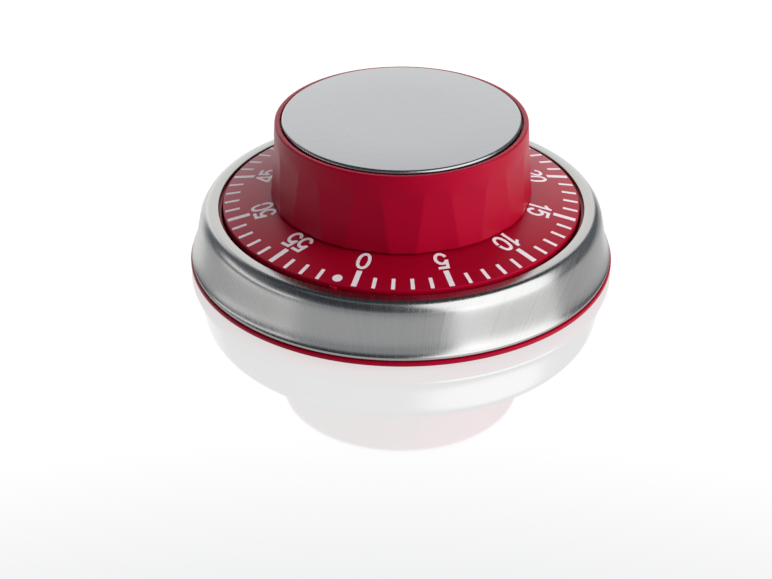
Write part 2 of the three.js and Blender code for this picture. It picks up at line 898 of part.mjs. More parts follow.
// A few turns of wire around the shaft, which pull the hammer towards the bell.
function hammerSpring() {
  const { turns, perTurn, radius, low, rise, wire } = returnSpring;
  const steps = turns * perTurn;
  const points = Array.from({ length: steps + 1 }, (_, step) => {
    const at = polar(radius, (step * 360) / perTurn).add(hammerAt);
    return new THREE.Vector3(at.x, at.y, low + (step / steps) * rise);
  });
  const section = new THREE.Shape().absarc(0, 0, wire, 0, 2 * Math.PI, false);
  const extrudePath = new THREE.CatmullRomCurve3(points);
  return new THREE.ExtrudeGeometry(section, { steps, curveSegments: 3, extrudePath });
}

const strikingSet = new THREE.Group();
strikingSet.add(
  piece("hammer_arbor", moved(rod(hammer.shaft, lowerPlate.low, hammer.shaftTop), hammerAt), finish.steel),
  piece("hammer_arm", hammerArm(), finish.steel),
  piece("hammer_tail", hammerTail(), finish.steel),
  piece("hammer_spring", hammerSpring(), finish.steel),
);

const timer = new THREE.Group();
timer.add(housing, movement, turningSet, movingTrain, strikingSet);

export default timer;
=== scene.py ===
import math

import bmesh
import bpy
from mathutils import Matrix, Vector, geometry


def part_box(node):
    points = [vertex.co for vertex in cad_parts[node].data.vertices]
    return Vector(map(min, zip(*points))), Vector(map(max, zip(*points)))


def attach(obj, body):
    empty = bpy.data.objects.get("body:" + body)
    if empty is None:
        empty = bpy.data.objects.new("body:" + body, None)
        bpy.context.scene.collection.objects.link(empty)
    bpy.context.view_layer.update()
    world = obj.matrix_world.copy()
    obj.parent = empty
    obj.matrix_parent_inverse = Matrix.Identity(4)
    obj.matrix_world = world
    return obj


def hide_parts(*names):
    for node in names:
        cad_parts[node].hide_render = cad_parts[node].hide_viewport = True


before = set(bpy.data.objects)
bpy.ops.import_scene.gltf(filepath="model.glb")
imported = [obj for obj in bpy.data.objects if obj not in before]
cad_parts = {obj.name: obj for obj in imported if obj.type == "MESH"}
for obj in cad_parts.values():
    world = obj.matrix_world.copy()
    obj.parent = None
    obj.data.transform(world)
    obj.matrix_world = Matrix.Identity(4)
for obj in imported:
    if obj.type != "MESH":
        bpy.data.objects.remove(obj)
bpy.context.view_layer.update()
print("timer: movement and housing loaded")

millimetre = 0.001


def cadSpan(node):
    # a CAD node's lowest and highest corners, in millimetres
    low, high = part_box(node)
    return low / millimetre, high / millimetre


# camera, low over the front of the timer and turned a little to its left

cameraView = {
    "target": (0.0, 0.0, 0.01416),
    "distance": 0.3733,
    "elevation": 28.32,
    "tilt": 58.71,
    "turn": 0.56,
    "lens": 82.07,
    "sensor": 36.0,
}


def addCamera(view):
    data = bpy.data.cameras.new("camera")
    data.lens = view["lens"]
    data.sensor_width = view["sensor"]
    data.clip_start = 0.01
    data.clip_end = 50
    camera = bpy.data.objects.new("camera", data)
    rise = math.radians(view["elevation"])
    away = Vector((0, -math.cos(rise), math.sin(rise))) * view["distance"]
    camera.location = Vector(view["target"]) + away
    camera.rotation_euler = (math.radians(view["tilt"]), 0, math.radians(view["turn"]))
    bpy.context.scene.collection.objects.link(camera)
    bpy.context.scene.camera = camera


addCamera(cameraView)
bpy.context.scene.view_settings.view_transform = "Standard"
print("timer: camera set")


# materials: a wrapped socket does arithmetic, and a recipe adds nodes to one node tree


class Field:
    def __init__(self, recipe, socket):
        self.recipe = recipe
        self.socket = socket

    def math(self, operation, *values):
        inputs = dict(enumerate(values))
        return self.recipe.node("ShaderNodeMath", {"operation": operation}, inputs)

    def __add__(self, other):
        return self.math("ADD", self, other)

    __radd__ = __add__

    def __mul__(self, other):
        return self.math("MULTIPLY", self, other)

    __rmul__ = __mul__

    def __sub__(self, other):
        return self.math("SUBTRACT", self, other)

    def __rsub__(self, other):
        return self.math("SUBTRACT", other, self)

    def __truediv__(self, other):
        return self.math("DIVIDE", self, other)

    def __rtruediv__(self, other):
        return self.math("DIVIDE", other, self)

    def __pow__(self, other):
        return self.math("POWER", self, other)

    def clamped(self):
        return self.math("MAXIMUM", self.math("MINIMUM", self, 1.0), 0.0)


class Recipe:
    def __init__(self, tree):
        self.tree = tree
        tree.nodes.clear()

    def node(self, kind, settings=None, inputs=None, output=0):
        made = self.tree.nodes.new(kind)
        for name, value in (settings or {}).items():
            setattr(made, name, value)
        for name, value in (inputs or {}).items():
            if isinstance(value, Field):
                self.tree.links.new(value.socket, made.inputs[name])
            else:
                made.inputs[name].default_value = value
        return Field(self, made.outputs[output]) if len(made.outputs) else made

    def objectPoint(self):
        return self.node("ShaderNodeTexCoord", output="Object")

    def parts(self, vector):
        split = self.node("ShaderNodeSeparateXYZ", inputs={0: vector})
        return [Field(self, socket) for socket in split.socket.node.outputs]

    def vector(self, x, y, z):
        return self.node("ShaderNodeCombineXYZ", inputs={0: x, 1: y, 2: z})

    def noise(self, vector, scale, detail=2.0, roughness=0.5):
        values = {"Vector": vector, "Scale": scale, "Detail": detail, "Roughness": roughness}
        return self.node("ShaderNodeTexNoise", inputs=values)

    def blend(self, factor, first, second):
        settings = {"data_type": "RGBA"}
        values = {0: factor, 6: (*first, 1), 7: (*second, 1)}
        return self.node("ShaderNodeMix", settings, values, output=2)

    def bump(self, height, distance):
        values = {"Height": height, "Distance": distance, "Strength": 1.0}
        return self.node("ShaderNodeBump", inputs=values)

    def surface(self, **sockets):
        inputs = {name.replace("_", " "): value for name, value in sockets.items()}
        shader = self.node("ShaderNodeBsdfPrincipled", inputs=inputs)
        self.node("ShaderNodeOutputMaterial", inputs={"Surface": shader})


def newMaterial(name):
    material = bpy.data.materials.new(name)
    material.use_nodes = True
    return material, Recipe(material.node_tree)


# red moulded plastic: satin skin with a fine grain, a little unevenness in colour and sheen

redPlasticLook = {
    "deep": (0.222, 0.0003, 0.0092),
    "light": (0.268, 0.0005, 0.0128),
    "sheenTint": (1.0, 0.06, 0.22, 1.0),
    "patch": 90.0,
    "grain": 5200.0,
    "grainHeight": 0.0000022,
    "roughness": 0.38,
    "roughnessSpread": 0.1,
    "ior": 1.5,
}


def redPlastic(name, look):
    material, recipe = newMaterial(name)
    point = recipe.objectPoint()
    patches = recipe.noise(point, look["patch"], 3.0)
    grain = recipe.noise(point, look["grain"], 2.0, 0.6)
    colour = recipe.blend(patches * 0.6 + grain * 0.4, look["deep"], look["light"])
    roughness = look["roughness"] + look["roughnessSpread"] * (patches * 0.5 + grain * 0.5 - 0.5)
    recipe.surface(
        Base_Color=colour,
        Roughness=roughness,
        Normal=recipe.bump(grain, look["grainHeight"]),
        IOR=look["ior"],
        Specular_Tint=look["sheenTint"],
    )
    return material


# brushed sheet: hair lines of two lengths, which colour, dull and furrow the metal

brushedLook = {
    "dark": (0.345, 0.344, 0.34),
    "bright": (0.428, 0.426, 0.418),
    "fineAcross": 7000.0,
    "fineAlong": 55.0,
    "coarseAcross": 1500.0,
    "coarseAlong": 16.0,
    "contrast": 2.2,
    "furrow": 0.0000014,
    "roughness": 0.25,
    "roughnessSpread": 0.14,
}
capLook = {
    **brushedLook,
    "dark": (0.31, 0.315, 0.325),
    "bright": (0.345, 0.35, 0.36),
    "furrow": 0.0000007,
    "turn": 20.0,
}


def brushedSurface(recipe, across, along, look):
    finePlace = recipe.vector(across * look["fineAcross"], along * look["fineAlong"], 0.0)
    coarsePlace = recipe.vector(across * look["coarseAcross"], along * look["coarseAlong"], 4.0)
    fine = recipe.noise(finePlace, 1.0, 3.0, 0.7)
    coarse = recipe.noise(coarsePlace, 1.0, 4.0, 0.65)
    lines = fine * 0.55 + coarse * 0.45
    contrast = ((lines - 0.5) * look["contrast"] + 0.5).clamped()
    recipe.surface(
        Base_Color=recipe.blend(contrast, look["dark"], look["bright"]),
        Metallic=1.0,
        Roughness=look["roughness"] + look["roughnessSpread"] * (contrast - 0.5),
        Normal=recipe.bump(lines, look["furrow"]),
    )


def brushedCap(name, look):
    # straight hair lines, turned in plan
    material, recipe = newMaterial(name)
    turned = recipe.node(
        "ShaderNodeMapping",
        {"vector_type": "POINT"},
        {"Vector": recipe.objectPoint(), "Rotation": (0.0, 0.0, -math.radians(look["turn"]))},
    )
    along, across, _ = recipe.parts(turned)
    brushedSurface(recipe, across, along, look)
    return material


def brushedRing(name, look, topHeight):
    # the blank was brushed flat and then drawn down, so the lines follow its unfolded plan
    material, recipe = newMaterial(name)
    x, y, z = recipe.parts(recipe.objectPoint())
    radius = (x * x + y * y) ** 0.5
    unfolded = (radius + (topHeight - z)) / radius
    brushedSurface(recipe, x * unfolded, y * unfolded, look)
    return material


inkLook = {
    "thin": (0.60, 0.53, 0.57),
    "full": (0.70, 0.64, 0.67),
    "speckle": 4200.0,
    "height": 0.0000015,
    "roughness": 0.45,
    "roughnessSpread": 0.15,
}


def printedInk(name, look):
    material, recipe = newMaterial(name)
    speckle = recipe.noise(recipe.objectPoint(), look["speckle"], 3.0, 0.7)
    recipe.surface(
        Base_Color=recipe.blend(speckle, look["thin"], look["full"]),
        Roughness=look["roughness"] + look["roughnessSpread"] * (speckle - 0.5),
        Normal=recipe.bump(speckle, look["height"]),
    )
    return material


blackPlasticLook = {
    "deep": (0.011, 0.011, 0.012),
    "light": (0.024, 0.024, 0.026),
    "grain": 1900.0,
    "grainHeight": 0.00002,
    "roughness": 0.52,
    "roughnessSpread": 0.16,
}
rubberLook = {
    "deep": (0.014, 0.014, 0.015),
    "light": (0.035, 0.035, 0.037),
    "grain": 3600.0,
    "grainHeight": 0.000012,
    "roughness": 0.82,
    "roughnessSpread": 0.16,
}


def grainedPlastic(name, look):
    material, recipe = newMaterial(name)
    point = recipe.objectPoint()
    grain = recipe.noise(point, look["grain"], 4.0, 0.6)
    haze = recipe.noise(point, 120.0, 2.0)
    recipe.surface(
        Base_Color=recipe.blend(grain * 0.5 + haze * 0.5, look["deep"], look["light"]),
        Roughness=look["roughness"] + look["roughnessSpread"] * (haze - 0.5),
        Normal=recipe.bump(grain, look["grainHeight"]),
    )
    return material


brassLook = {
    "dark": (0.52, 0.34, 0.11),
    "bright": (0.78, 0.56, 0.24),
    "roughness": 0.3,
    "scratch": 2600.0,
}
steelLook = {
    "dark": (0.30, 0.31, 0.32),
    "bright": (0.52, 0.53, 0.55),
    "roughness": 0.3,
    "scratch": 3400.0,
}
nickelLook = {
    "dark": (0.52, 0.51, 0.49),
    "bright": (0.68, 0.67, 0.65),
    "roughness": 0.18,
    "scratch": 2000.0,
}


machinedDetail = {
    "stretch": 8.0,
    "tarnishScale": 260.0,
    "marksShare": 0.4,
    "tarnishShare": 0.6,
    "roughnessSpread": 0.15,
    "furrow": 0.0000012,
}


def machinedMetal(name, look, detail=machinedDetail):
    # faint turning marks around the upright axis, with a tarnish in soft patches
    material, recipe = newMaterial(name)
    point = recipe.objectPoint()
    x, y, z = recipe.parts(point)
    marks = recipe.noise(recipe.vector(x, y, z * detail["stretch"]), look["scratch"], 3.0, 0.7)
    tarnish = recipe.noise(point, detail["tarnishScale"], 3.0)
    shade = marks * detail["marksShare"] + tarnish * detail["tarnishShare"]
    recipe.surface(
        Base_Color=recipe.blend(shade, look["dark"], look["bright"]),
        Metallic=1.0,
        Roughness=look["roughness"] + detail["roughnessSpread"] * (tarnish - 0.5),
        Normal=recipe.bump(marks, detail["furrow"]),
    )
    return material


ringLow, ringHigh = cadSpan("steel_ring")
redShell = redPlastic("red moulded plastic", redPlasticLook)
sheetCap = brushedCap("brushed cap sheet", capLook)
sheetRing = brushedRing("brushed ring sheet", brushedLook, ringHigh.z * millimetre)
ink = printedInk("pale dial ink", inkLook)
blackCover = grainedPlastic("grained black plastic", blackPlasticLook)
footRubber = grainedPlastic("black rubber", rubberLook)
brass = machinedMetal("clock brass", brassLook)
steel = machinedMetal("machined steel", steelLook)
nickel = machinedMetal("magnet nickel", nickelLook)
print("timer: materials ready")


# mesh tools: everything is shaped in millimetres, and made metres when it becomes a piece


def radiusOf(vert):
    return math.hypot(vert.co.x, vert.co.y)


mergeDistance = 0.0004


def cleaned(bm):
    bmesh.ops.remove_doubles(bm, verts=bm.verts[:], dist=mergeDistance)
    bmesh.ops.recalc_face_normals(bm, faces=bm.faces[:])
    return bm


def roundRing(bm, radius, height, width, segments):
    # rounds the circle of edges at one radius and height
    def onRing(vert):
        return abs(vert.co.z - height) < 0.001 and abs(radiusOf(vert) - radius) < 0.001

    edges = [edge for edge in bm.edges if all(onRing(vert) for vert in edge.verts)]
    bmesh.ops.bevel(
        bm,
        geom=edges,
        offset=width,
        affect="EDGES",
        segments=segments,
        profile=0.5,
        material=-1,
        clamp_overlap=True,
    )


def turned(profile, steps=256, segments=3):
    # spins a section about +Z. A point is radius, height and, if its corner is rounded, how far.
    # A section that starts and ends on the axis stays open there, and any other is closed.
    bm = bmesh.new()
    corners = [bm.verts.new((point[0], 0, point[1])) for point in profile]
    onAxis = profile[0][0] == 0 and profile[-1][0] == 0
    ends = corners[1:] if onAxis else corners[1:] + corners[:1]
    for first, second in zip(corners, ends):
        bm.edges.new((first, second))
    bmesh.ops.spin(
        bm,
        geom=bm.verts[:] + bm.edges[:],
        cent=(0, 0, 0),
        axis=(0, 0, 1),
        dvec=(0, 0, 0),
        angle=2 * math.pi,
        steps=steps,
        use_merge=True,
    )
    cleaned(bm)
    for point in profile:
        if len(point) > 2:
            roundRing(bm, point[0], point[1], point[2], segments)
    return bm


def rod(radius, low, high, steps=32):
    return turned([(0, low), (radius, low), (radius, high), (0, high)], steps)


def shifted(bm, place, height=0.0):
    bmesh.ops.translate(bm, vec=(place[0], place[1], height), verts=bm.verts[:])
    return bm


def polar(radius, angle):
    return radius * math.cos(math.radians(angle)), radius * math.sin(math.radians(angle))


def arc(centre, radius, start, end, steps):
    # points of an arc in a section, from one angle to another
    angles = [math.radians(start + (end - start) * step / steps) for step in range(steps + 1)]
    return [(centre[0] + radius * math.cos(a), centre[1] + radius * math.sin(a)) for a in angles]


def toMesh(bm, name):
    mesh = bpy.data.meshes.new(name)
    bm.to_mesh(mesh)
    bm.free()
    return mesh


def gathered(*parts):
    # several bmeshes as one
    whole = bmesh.new()
    for part in parts:
        mesh = toMesh(part, "part")
        whole.from_mesh(mesh)
        bpy.data.meshes.remove(mesh)
    return whole


def combined(bm, tools, operation):
    # adds the tools to a solid, or cuts them from it
    made = []
    for shape in (bm, gathered(*tools)):
        holder = bpy.data.objects.new("solid", toMesh(shape, "solid"))
        bpy.context.scene.collection.objects.link(holder)
        made.append(holder)
    solid, tool = made
    modifier = solid.modifiers.new("combine", "BOOLEAN")
    modifier.operation = operation
    modifier.solver = "EXACT"
    modifier.object = tool
    graph = bpy.context.evaluated_depsgraph_get()
    result = bmesh.new()
    result.from_mesh(solid.evaluated_get(graph).data)
    for holder in made:
        mesh = holder.data
        bpy.data.objects.remove(holder)
        bpy.data.meshes.remove(mesh)
    return result


def addPiece(name, bm, body, material, replaced=(), crease=32.0):
    bmesh.ops.scale(bm, vec=(millimetre,) * 3, verts=bm.verts[:])
    mesh = toMesh(bm, name)
    mesh.shade_smooth()
    mesh.set_sharp_from_angle(angle=math.radians(crease))
    mesh.materials.append(material)
    piece = bpy.data.objects.new(name, mesh)
    bpy.context.scene.collection.objects.link(piece)
    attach(piece, body)
    if replaced:
        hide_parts(*replaced)
    print(f"timer: {name} built, {len(mesh.polygons)} faces")
    return piece


# base: a tub with a rounded edge under the ring, and the index pip on its ledge

baseSizes = {
    "recess": 40.1,
    "edgeHeight": 1.0,
    "edgeRound": 0.34,
    "floorThickness": 1.4,
    "floorAbove": 0.7,
    "wallInner": 39.5,
    "wallOuter": 40.7,
    "ledgeInner": 37.95,
    "ledgeThickness": 1.4,
    "ledgeTop": 12.7,
    "root": 0.5,
    "magnetCup": {"radius": 8.1, "top": 6.4},
    "magnetPocket": {"radius": 7.2, "top": 5.6},
    "pillarBoss": {"radius": 3.0, "top": 5.1},
    "pillarBore": {"radius": 1.2, "top": 6.0},
    "headSeat": 2.3,
    "coverBoss": {"radius": 2.6, "top": 7.5},
    "coverBore": {"radius": 0.95, "top": 6.4},
}
pipSizes = {
    "angle": -110.3,
    "halfWidth": 0.85,
    "depth": 0.55,
    "sink": 0.5,
    "round": 0.16,
    "inset": 0.02,
}
baseLow, baseHigh = cadSpan("base_shell")


def centreOf(node):
    low, high = cadSpan(node)
    return ((low.x + high.x) / 2, (low.y + high.y) / 2)


magnetPlaces = [centreOf(f"magnet_{number}") for number in (1, 2, 3)]
pillarPlaces = [centreOf(f"pillar_{number}") for number in (1, 2, 3)]
footPlaces = [centreOf(f"rubber_foot_{number}") for number in (1, 2, 3)]
screwPlaces = [centreOf(f"cover_screw_{number}") for number in (1, 2, 3)]


def indexPip(sizes, base):
    # half of a rounded oval post
    bm = bmesh.new()
    low = base["ledgeTop"] - sizes["sink"]
    made = bmesh.ops.create_circle(bm, cap_ends=True, segments=64, radius=1)
    bmesh.ops.scale(bm, vec=(sizes["depth"], sizes["halfWidth"], 1), verts=made["verts"])
    lifted = bmesh.ops.extrude_face_region(bm, geom=bm.faces[:], use_keep_orig=True)
    top = [item for item in lifted["geom"] if isinstance(item, bmesh.types.BMVert)]
    bmesh.ops.translate(bm, vec=(0, 0, baseHigh.z - low), verts=top)
    rim = [edge for edge in bm.edges if all(vert in top for vert in edge.verts)]
    bmesh.ops.bevel(
        bm, geom=rim, offset=sizes["round"], affect="EDGES", segments=4, profile=0.5, material=-1
    )
    everything = bm.verts[:] + bm.edges[:] + bm.faces[:]
    halved = bmesh.ops.bisect_plane(
        bm, geom=everything, plane_co=(0, 0, 0), plane_no=(-1, 0, 0), clear_outer=True
    )
    cutEdges = [item for item in halved["geom_cut"] if isinstance(item, bmesh.types.BMEdge)]
    bmesh.ops.holes_fill(bm, edges=cutEdges, sides=0)
    cleaned(bm)
    bmesh.ops.translate(bm, vec=(base["ledgeInner"] + sizes["inset"], 0, low), verts=bm.verts[:])
    turn = Matrix.Rotation(math.radians(sizes["angle"]), 3, "Z")
    bmesh.ops.rotate(bm, cent=(0, 0, 0), matrix=turn, verts=bm.verts[:])
    return bm


def addBase(sizes, pip):
    edgeLow = baseLow.z
    edgeHigh = edgeLow + sizes["edgeHeight"]
    floorLow = edgeLow + sizes["floorAbove"]
    floorHigh = floorLow + sizes["floorThickness"]
    outer = baseHigh.x
    tub = turned(
        [
            (0, floorLow),
            (sizes["recess"], floorLow),
            (sizes["recess"], edgeLow, 0.1),
            (outer, edgeLow, sizes["edgeRound"]),
            (outer, edgeHigh, sizes["edgeRound"] * 0.8),
            (sizes["wallOuter"], edgeHigh),
            (sizes["wallOuter"], sizes["ledgeTop"]),
            (sizes["ledgeInner"], sizes["ledgeTop"], 0.15),
            (sizes["ledgeInner"], sizes["ledgeTop"] - sizes["ledgeThickness"]),
            (sizes["wallInner"], sizes["ledgeTop"] - sizes["ledgeThickness"]),
            (sizes["wallInner"], floorHigh),
            (0, floorHigh),
        ],
        steps=320,
        segments=4,
    )
    root = floorHigh - sizes["root"]
    below = 1.0  # under the tub's floor

    def posts(places, size, low, steps=32):
        return [shifted(rod(size["radius"], low, size["top"], steps), at) for at in places]

    raised = posts(magnetPlaces, sizes["magnetCup"], root, 48)
    raised += posts(pillarPlaces, sizes["pillarBoss"], root)
    raised += posts(screwPlaces, sizes["coverBoss"], root)
    pockets = posts(magnetPlaces, sizes["magnetPocket"], below, 48)
    pockets += posts(pillarPlaces, {"radius": sizes["headSeat"], "top": floorHigh}, below)
    bores = posts(pillarPlaces, sizes["pillarBore"], floorHigh - 0.1)
    bores += posts(screwPlaces, sizes["coverBore"], below)
    solid = combined(tub, [*raised, indexPip(pip, sizes)], "UNION")
    solid = combined(solid, pockets, "DIFFERENCE")
    solid = combined(solid, bores, "DIFFERENCE")
    addPiece("baseTub", solid, "housing", redShell, ["base_shell"])


addBase(baseSizes, pipSizes)


# ring: one drawn sheet with a flat collar, a round shoulder, a leaning wall and a flared skirt

ringSizes = {
    "sheet": 0.7,
    "inner": 38.6,
    "shoulder": (40.3, 12.05),
    "bend": 1.6,
    "bendEnd": 42.0,
    "flank": 5.0,
    "flankEnd": 24.0,
    "wallPull": (42.67, 11.08),
    "kneePull": (42.98, 8.9),
    "knee": (43.5, 6.34),
    "skirtStart": (43.7, 5.3),
    "skirtPull": (44.12, 3.55),
    "lip": (44.68, 3.02),
    "edgeRound": 0.1,
    "footShare": 0.3,
    "mouthRound": 0.2,
}


def curve(start, startPull, endPull, end, steps):
    points = [Vector(point).to_3d() for point in (start, startPull, endPull, end)]
    return [(p.x, p.y) for p in geometry.interpolate_bezier(*points, steps)]


def offsetLine(points, distance):
    # the same line, moved to its left by a distance
    moved = []
    for index, point in enumerate(points):
        before = Vector(points[max(index - 1, 0)])
        after = Vector(points[min(index + 1, len(points) - 1)])
        along = (after - before).normalized()
        moved.append((point[0] - along.y * distance, point[1] + along.x * distance))
    return moved


def addRing(sizes):
    top = ringHigh.z
    bend = arc(sizes["shoulder"], sizes["bend"], 90, sizes["bendEnd"], 12)
    reach = sizes["bend"] - sizes["flank"]
    offset = polar(reach, sizes["bendEnd"])
    flankCentre = (sizes["shoulder"][0] + offset[0], sizes["shoulder"][1] + offset[1])
    bend += arc(flankCentre, sizes["flank"], sizes["bendEnd"], sizes["flankEnd"], 8)[1:]
    wall = curve(bend[-1], sizes["wallPull"], sizes["kneePull"], sizes["knee"], 12)
    skirt = curve(sizes["knee"], sizes["skirtStart"], sizes["skirtPull"], sizes["lip"], 12)
    skin = [(sizes["inner"], top), *bend, *wall[1:], *skirt[1:]]
    inside = offsetLine(skin, -sizes["sheet"])
    inside[0] = (sizes["inner"], top - sizes["sheet"])
    inside.append((skin[-1][0] - sizes["sheet"], ringLow.z))
    reachOut = sizes["edgeRound"] * sizes["footShare"]
    foot = (skin[-1][0] + reachOut, ringLow.z, sizes["edgeRound"])
    section = [(*skin[0], sizes["mouthRound"]), *skin[1:], foot]
    bm = turned([*section, *inside[::-1]], steps=384)
    addPiece("steelRing", bm, "housing", sheetRing, ["steel_ring"])


addRing(ringSizes)


# underside: black cover with seats for the feet and the countersunk screws

coverSizes = {
    "radius": 39.7,
    "edgeRound": 0.35,
    "ringMiddle": 12.75,
    "ringHalf": 0.45,
    "ringSlope": 0.3,
    "hollow": 0.15,
    "rimWidth": 1.9,
    "seatGap": 0.2,
}
sinkSizes = {"mouth": 2.15, "low": 0.5, "coneLow": 0.95, "coneTop": 1.75, "hole": 1.15, "top": 2}
footSizes = {"round": 0.3, "hollow": 0.12, "hollowRadius": 2.2, "slope": 0.3}
screwSizes = {
    "head": 1.9,
    "headRound": 0.08,
    "headEdge": 0.12,
    "neck": (0.9, 1.7),
    "taper": (0.8, 5.6),
    "slot": (2.3, 0.42, 1.1),
    "turnEach": 25,
}


def addCover(sizes, sink, seatRadius, seatTop):
    low, high = cadSpan("bottom_cover")
    raised = low.z + sizes["hollow"]
    ringInner = sizes["ringMiddle"] - sizes["ringHalf"]
    ringOuter = sizes["ringMiddle"] + sizes["ringHalf"]
    rim = sizes["radius"] - sizes["rimWidth"]
    disc = turned(
        [
            (0, raised),
            (ringInner - sizes["ringSlope"], raised),
            (ringInner, low.z),
            (ringOuter, low.z),
            (ringOuter + sizes["ringSlope"], raised),
            (rim - sizes["ringSlope"], raised),
            (rim, low.z),
            (sizes["radius"], low.z, sizes["edgeRound"]),
            (sizes["radius"], high.z, 0.15),
            (0, high.z),
        ],
        steps=256,
    )
    sinkProfile = [
        (0, sink["low"]),
        (sink["mouth"], sink["low"]),
        (sink["mouth"], sink["coneLow"]),
        (sink["hole"], sink["coneTop"]),
        (sink["hole"], sink["top"]),
        (0, sink["top"]),
    ]
    seats = [shifted(rod(seatRadius, 0, seatTop, 64), at) for at in footPlaces]
    sinks = [shifted(turned(sinkProfile, 40), at) for at in screwPlaces]
    cover = combined(disc, [*seats, *sinks], "DIFFERENCE")
    addPiece("bottomCover", cover, "housing", blackCover, ["bottom_cover"])


def addFeet(sizes, radius, low, high):
    profile = [
        (0, low + sizes["hollow"]),
        (sizes["hollowRadius"], low + sizes["hollow"]),
        (sizes["hollowRadius"] + sizes["slope"], low),
        (radius, low, sizes["round"]),
        (radius, high),
        (0, high),
    ]
    for number, at in enumerate(footPlaces, 1):
        bm = shifted(turned(profile, steps=96), at)
        replaced = [f"rubber_foot_{number}"]
        addPiece(f"rubberFoot{number}", bm, "housing", footRubber, replaced)


def addCoverScrews(sizes):
    low, high = cadSpan("cover_screw_1")
    profile = [
        (0, low.z),
        (sizes["head"], low.z, sizes["headRound"]),
        (sizes["head"], low.z + sizes["headEdge"]),
        sizes["neck"],
        sizes["taper"],
        (0, high.z),
    ]
    for number, at in enumerate(screwPlaces, 1):
        screw = turned(profile, steps=48)
        for turn in (0, 90):
            bar = bmesh.new()
            bmesh.ops.create_cube(bar, size=1)
            bmesh.ops.scale(bar, vec=sizes["slot"], verts=bar.verts[:])
            spinTurn = Matrix.Rotation(math.radians(turn + sizes["turnEach"] * number), 3, "Z")
            bmesh.ops.rotate(bar, cent=(0, 0, 0), matrix=spinTurn, verts=bar.verts[:])
            screw = combined(screw, [shifted(bar, (0, 0), low.z)], "DIFFERENCE")
        replaced = [f"cover_screw_{number}"]
        addPiece(
            f"coverScrew{number}", shifted(screw, at), "housing", steel, replaced
        )


footLow, footHigh = cadSpan("rubber_foot_1")
footRadius = (footHigh.x - footLow.x) / 2
addCover(coverSizes, sinkSizes, footRadius + coverSizes["seatGap"], footHigh.z + 0.1)
addFeet(footSizes, footRadius, footLow.z, footHigh.z)
addCoverScrews(screwSizes)


# dial: a shallow red cone, flat where it carries the knob

dialSizes = {
    "innerRadius": 22.5,
    "seatRadius": 27.4,
    "edgeRadius": 37.64,
    "thickness": 1.7,
    "markRadius": 37.27,
    "markHeight": 14.16,
    "edgeRound": 0.22,
    "edgeBand": 1.0,
    "screwHole": 0.85,
}
dialLow, dialHigh = cadSpan("dial")
dialScrewPlaces = [centreOf(f"dial_screw_{number}") for number in (1, 2, 3)]


def dialHeight(radius):
    # height of the dial's face
    sizes = dialSizes
    slope = (dialHigh.z - sizes["markHeight"]) / (sizes["markRadius"] - sizes["seatRadius"])
    return sizes["markHeight"] + slope * (sizes["markRadius"] - radius)


def addDial(sizes):
    edge = sizes["edgeRadius"]
    under = dialHeight(sizes["markRadius"]) - sizes["thickness"]
    bm = turned(
        [
            (sizes["innerRadius"], dialHigh.z - sizes["thickness"]),
            (sizes["seatRadius"], dialHigh.z - sizes["thickness"]),
            (edge - sizes["edgeBand"], under),
            (edge, under, 0.1),
            (edge, dialHeight(edge), sizes["edgeRound"]),
            (sizes["seatRadius"], dialHigh.z),
            (sizes["innerRadius"], dialHigh.z),
        ],
        steps=320,
        segments=4,
    )
    through = (dialLow.z - 1, dialHigh.z + 1)
    holes = [shifted(rod(sizes["screwHole"], *through), at) for at in dialScrewPlaces]
    bm = combined(bm, holes, "DIFFERENCE")
    addPiece("dialPlate", bm, "dial_assembly", redShell, ["dial"])


addDial(dialSizes)


# print on the dial: sixty minute marks, a dot before the zero, and numerals every five minutes

printSizes = {
    "zeroAngle": -104.3,
    "minorInner": 34.18,
    "majorInner": 32.62,
    "minorWidth": 0.76,
    "majorWidth": 1.1,
    "cornerRound": 0.1,
    "dotMinute": 59,
    "dotRadius": 1.0,
    "numeralRadius": 29.63,
    "numeralHalfStroke": 0.335,
    "proud": 0.025,
    "sunk": 0.02,
}


def oval(centre, across, up, start, end, steps=22, power=2.0):
    # points of an oval from one angle to another; a power above 2 squares it
    points = []
    for step in range(steps + 1):
        angle = math.radians(start + (end - start) * step / steps)
        c, s = math.cos(angle), math.sin(angle)
        swell = (abs(c) ** power + abs(s) ** power) ** (-1 / power)
        points.append((centre[0] + across * c * swell, centre[1] + up * s * swell))
    return points


# each figure: how far it reaches to the left and right of its own middle, and its pen strokes
figures = {
    "0": (1.47, 1.47, [oval((0, 0), 1.08, 2.05, 0, 360, 48, 2.25)]),
    "1": (1.1, 0.87, [[(0, 2.38), (0, -2.38)], [(0.12, 2.12), (-0.5, 1.32), (-1.18, 0.84)]]),
    "2": (1.47, 1.47, [
        oval((0, 0.97), 1.07, 1.08, 178, -32) + [(-0.1, -0.9), (-0.86, -1.72), (-0.98, -2.05)],
        [(-1.4, -2.05), (1.38, -2.05)],
    ]),
    "3": (1.47, 1.47, [
        oval((-0.03, 1.02), 0.95, 1.03, 165, -88),
        oval((0, -0.98), 1.07, 1.07, 92, -168),
        [(-0.5, 0.05), (0.05, 0.05)],
    ]),
    "4": (1.62, 1.62, [
        [(0.78, 2.38), (0.78, -2.38)],
        [(0.7, 2.1), (-1.3, -0.86)],
        [(-1.58, -0.9), (1.58, -0.9)],
    ]),
    "5": (1.47, 1.47, [
        [(1.18, 2.05), (-0.74, 2.05), (-1.04, -0.16)],
        oval((0.02, -0.6), 1.07, 1.45, 152, -161, 30),
    ]),
}


